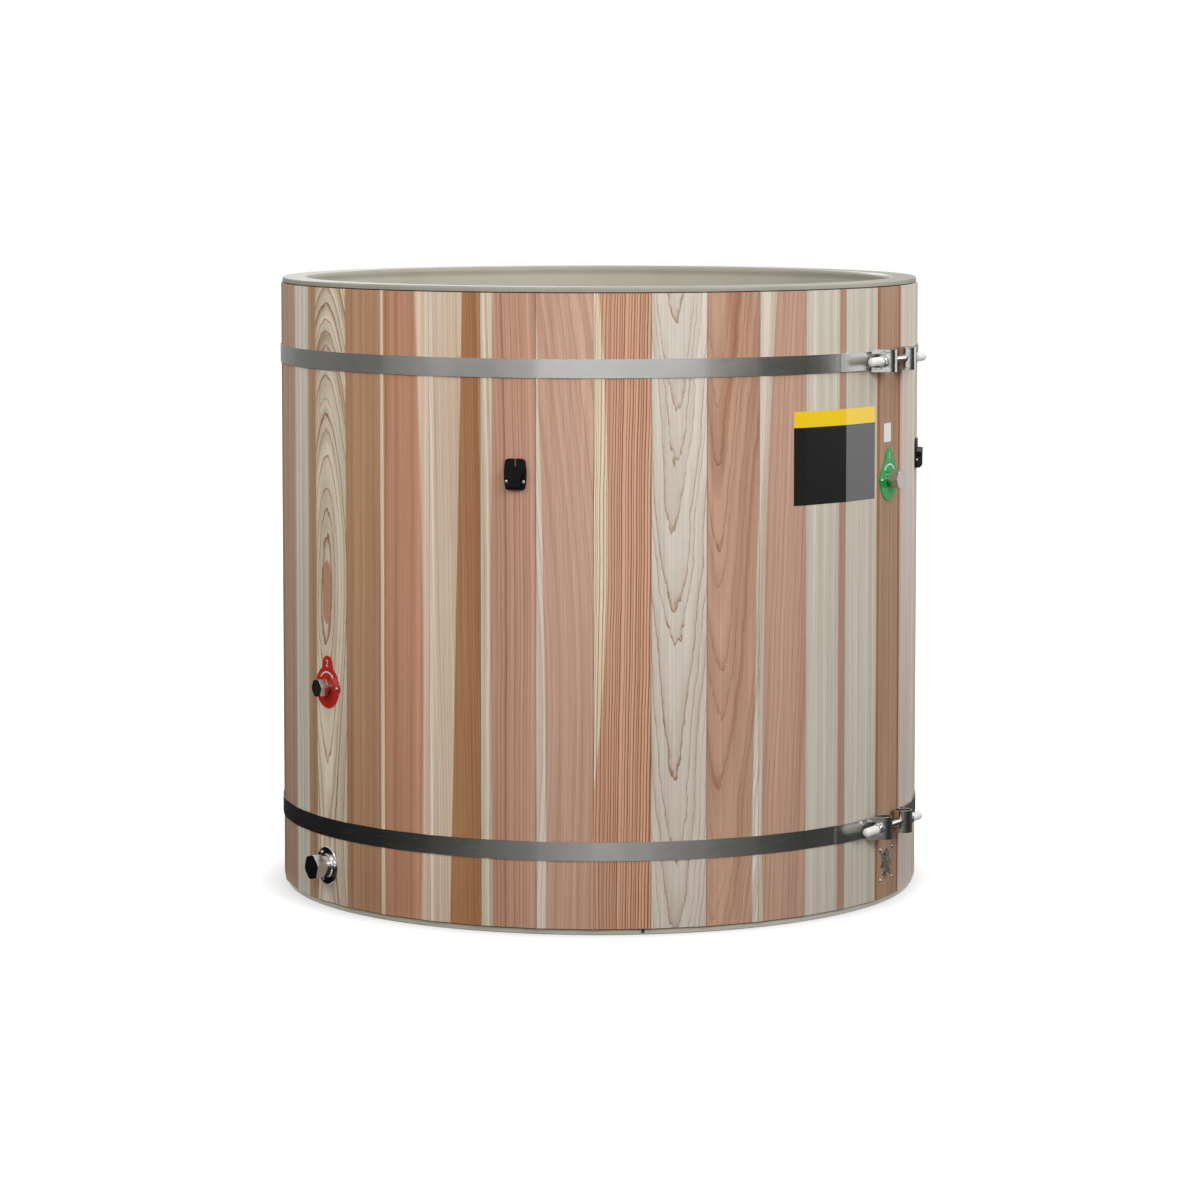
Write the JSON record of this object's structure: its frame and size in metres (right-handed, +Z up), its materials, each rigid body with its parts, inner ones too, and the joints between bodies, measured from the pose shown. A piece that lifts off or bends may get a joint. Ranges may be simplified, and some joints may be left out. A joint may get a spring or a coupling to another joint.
{
  "type": "barrel cold plunge tub",
  "caption": "Round cold plunge tub: a moulded liner in a ring of upright cedar boards held by steel hoops, with capped pipe ports.",
  "frame": {"origin": "centre of the base pan's underside, on the floor", "axes": "+Z up along the barrel's axis; -Y is the front"},
  "size_m": [1.0879, 1.0847, 1.031],
  "materials": {
    "cedar": "planed and sanded, matt",
    "moulding": "glossy gel coat",
    "foam": "cut foam",
    "hoop_steel": "brushed along its length",
    "bright_steel": "polished",
    "black_rubber": "matt",
    "white_cap": "soft vinyl",
    "black_clip": "moulded, semi-gloss",
    "red_plate": "glossy",
    "green_plate": "glossy",
    "pale_plastic": "moulded"
  },
  "bodies": {
    "tub": {"liner": "moulding", "foam_jacket": "foam", "base_pan": "moulding", "weep_plug": "black_rubber", "outlet_stave": "cedar", "inlet_stave": "cedar", "staves_back_left": "cedar", "staves_left_rear": "cedar", "staves_left": "cedar", "staves_front_left": "cedar", "staves_front": "cedar", "staves_front_right": "cedar", "staves_right": "cedar", "staves_right_rear": "cedar", "staves_back_right": "cedar", "upper_hoop": "hoop_steel", "lower_hoop": "hoop_steel", "upper_lug_left": "bright_steel", "upper_lug_right": "bright_steel", "lower_lug_left": "bright_steel", "lower_lug_right": "bright_steel", "upper_rod": "bright_steel", "lower_rod": "bright_steel", "outlet_pipe": "bright_steel", "outlet_plate": "red_plate", "inlet_pipe": "bright_steel", "inlet_plate": "green_plate", "drain_pipe": "bright_steel", "drain_flange": "bright_steel", "port_gaskets": "black_rubber", "port_locknuts": "bright_steel", "suction_strainer": "pale_plastic", "return_nozzle": "pale_plastic", "drain_grate": "bright_steel", "port_screws": "bright_steel", "vent_grille": "bright_steel", "vent_screws": "bright_steel", "front_clip": "black_clip", "right_clip": "black_clip", "back_clip": "black_clip", "left_clip": "black_clip", "clip_screws": "bright_steel"},
    "outlet_travel": {"outlet_seal": "black_rubber"},
    "outlet_turn": {"outlet_cap": "bright_steel"},
    "inlet_travel": {"inlet_seal": "black_rubber"},
    "inlet_turn": {"inlet_cap": "bright_steel"},
    "drain_travel": {"drain_seal": "black_rubber"},
    "drain_turn": {"drain_cap": "bright_steel"},
    "upper_left_travel": {"upper_washer_left": "bright_steel"},
    "upper_left_turn": {"upper_nut_left": "bright_steel"},
    "upper_left_cover": {"upper_end_cap_left": "white_cap"},
    "upper_right_travel": {"upper_washer_right": "bright_steel"},
    "upper_right_turn": {"upper_nut_right": "bright_steel"},
    "upper_right_cover": {"upper_end_cap_right": "white_cap"},
    "lower_left_travel": {"lower_washer_left": "bright_steel"},
    "lower_left_turn": {"lower_nut_left": "bright_steel"},
    "lower_left_cover": {"lower_end_cap_left": "white_cap"},
    "lower_right_travel": {"lower_washer_right": "bright_steel"},
    "lower_right_turn": {"lower_nut_right": "bright_steel"},
    "lower_right_cover": {"lower_end_cap_right": "white_cap"}
  },
  "joints": [
    {"name": "outlet_cap_travel", "type": "slide", "parent": "tub", "child": "outlet_travel", "axis": [-0.8142, -0.5806, 0], "range_m": [0, 0.00912]},
    {"name": "outlet_cap_turn", "type": "hinge", "parent": "outlet_travel", "child": "outlet_turn", "pos_m": [-0.44447, -0.30343, 0.367], "axis": [-0.8142, -0.5806, 0], "range_deg": [0, 1800]},
    {"name": "inlet_cap_travel", "type": "slide", "parent": "tub", "child": "inlet_travel", "axis": [0.885, -0.4656, 0], "range_m": [0, 0.00912]},
    {"name": "inlet_cap_turn", "type": "hinge", "parent": "inlet_travel", "child": "inlet_turn", "pos_m": [0.47523, -0.25231, 0.7045], "axis": [0.885, -0.4656, 0], "range_deg": [0, 1800]},
    {"name": "drain_cap_travel", "type": "slide", "parent": "tub", "child": "drain_travel", "axis": [-0.8142, -0.5806, 0], "range_m": [0, 0.01044]},
    {"name": "drain_cap_turn", "type": "hinge", "parent": "drain_travel", "child": "drain_turn", "pos_m": [-0.44679, -0.30017, 0.071], "axis": [-0.8142, -0.5806, 0], "range_deg": [0, 1620]},
    {"name": "upper_nut_left_travel", "type": "slide", "parent": "tub", "child": "upper_left_travel", "axis": [-0.4787, -0.878, 0], "range_m": [0, 0.0015]},
    {"name": "upper_nut_left_turn", "type": "hinge", "parent": "upper_left_travel", "child": "upper_left_turn", "pos_m": [0.4885, -0.26637, 0.9028], "axis": [-0.4787, -0.878, 0], "range_deg": [0, 360]},
    {"name": "upper_end_cap_left_pull", "type": "slide", "parent": "tub", "child": "upper_left_cover", "axis": [-0.4787, -0.878, 0], "range_m": [0, 0.03]},
    {"name": "upper_nut_right_travel", "type": "slide", "parent": "tub", "child": "upper_right_travel", "axis": [0.4787, 0.878, 0], "range_m": [0, 0.0015]},
    {"name": "upper_nut_right_turn", "type": "hinge", "parent": "upper_right_travel", "child": "upper_right_turn", "pos_m": [0.4885, -0.26637, 0.9028], "axis": [0.4787, 0.878, 0], "range_deg": [0, 360]},
    {"name": "upper_end_cap_right_pull", "type": "slide", "parent": "tub", "child": "upper_right_cover", "axis": [0.4787, 0.878, 0], "range_m": [0, 0.03]},
    {"name": "lower_nut_left_travel", "type": "slide", "parent": "tub", "child": "lower_left_travel", "axis": [-0.4901, -0.8717, 0], "range_m": [0, 0.0015]},
    {"name": "lower_nut_left_turn", "type": "hinge", "parent": "lower_left_travel", "child": "lower_left_turn", "pos_m": [0.48499, -0.2727, 0.1353], "axis": [-0.4901, -0.8717, 0], "range_deg": [0, 360]},
    {"name": "lower_end_cap_left_pull", "type": "slide", "parent": "tub", "child": "lower_left_cover", "axis": [-0.4901, -0.8717, 0], "range_m": [0, 0.03]},
    {"name": "lower_nut_right_travel", "type": "slide", "parent": "tub", "child": "lower_right_travel", "axis": [0.4901, 0.8717, 0], "range_m": [0, 0.0015]},
    {"name": "lower_nut_right_turn", "type": "hinge", "parent": "lower_right_travel", "child": "lower_right_turn", "pos_m": [0.48499, -0.2727, 0.1353], "axis": [0.4901, 0.8717, 0], "range_deg": [0, 360]},
    {"name": "lower_end_cap_right_pull", "type": "slide", "parent": "tub", "child": "lower_right_cover", "axis": [0.4901, 0.8717, 0], "range_m": [0, 0.03]}
  ],
  "couplings": [
    {"joint": "outlet_cap_travel", "follows": "outlet_cap_turn", "m_per_rad": 0.00028875},
    {"joint": "inlet_cap_travel", "follows": "inlet_cap_turn", "m_per_rad": 0.00028875},
    {"joint": "drain_cap_travel", "follows": "drain_cap_turn", "m_per_rad": 0.0003675},
    {"joint": "upper_nut_left_travel", "follows": "upper_nut_left_turn", "m_per_rad": 0.00023873},
    {"joint": "upper_nut_right_travel", "follows": "upper_nut_right_turn", "m_per_rad": 0.00023873},
    {"joint": "lower_nut_left_travel", "follows": "lower_nut_left_turn", "m_per_rad": 0.00023873},
    {"joint": "lower_nut_right_travel", "follows": "lower_nut_right_turn", "m_per_rad": 0.00023873}
  ]
}
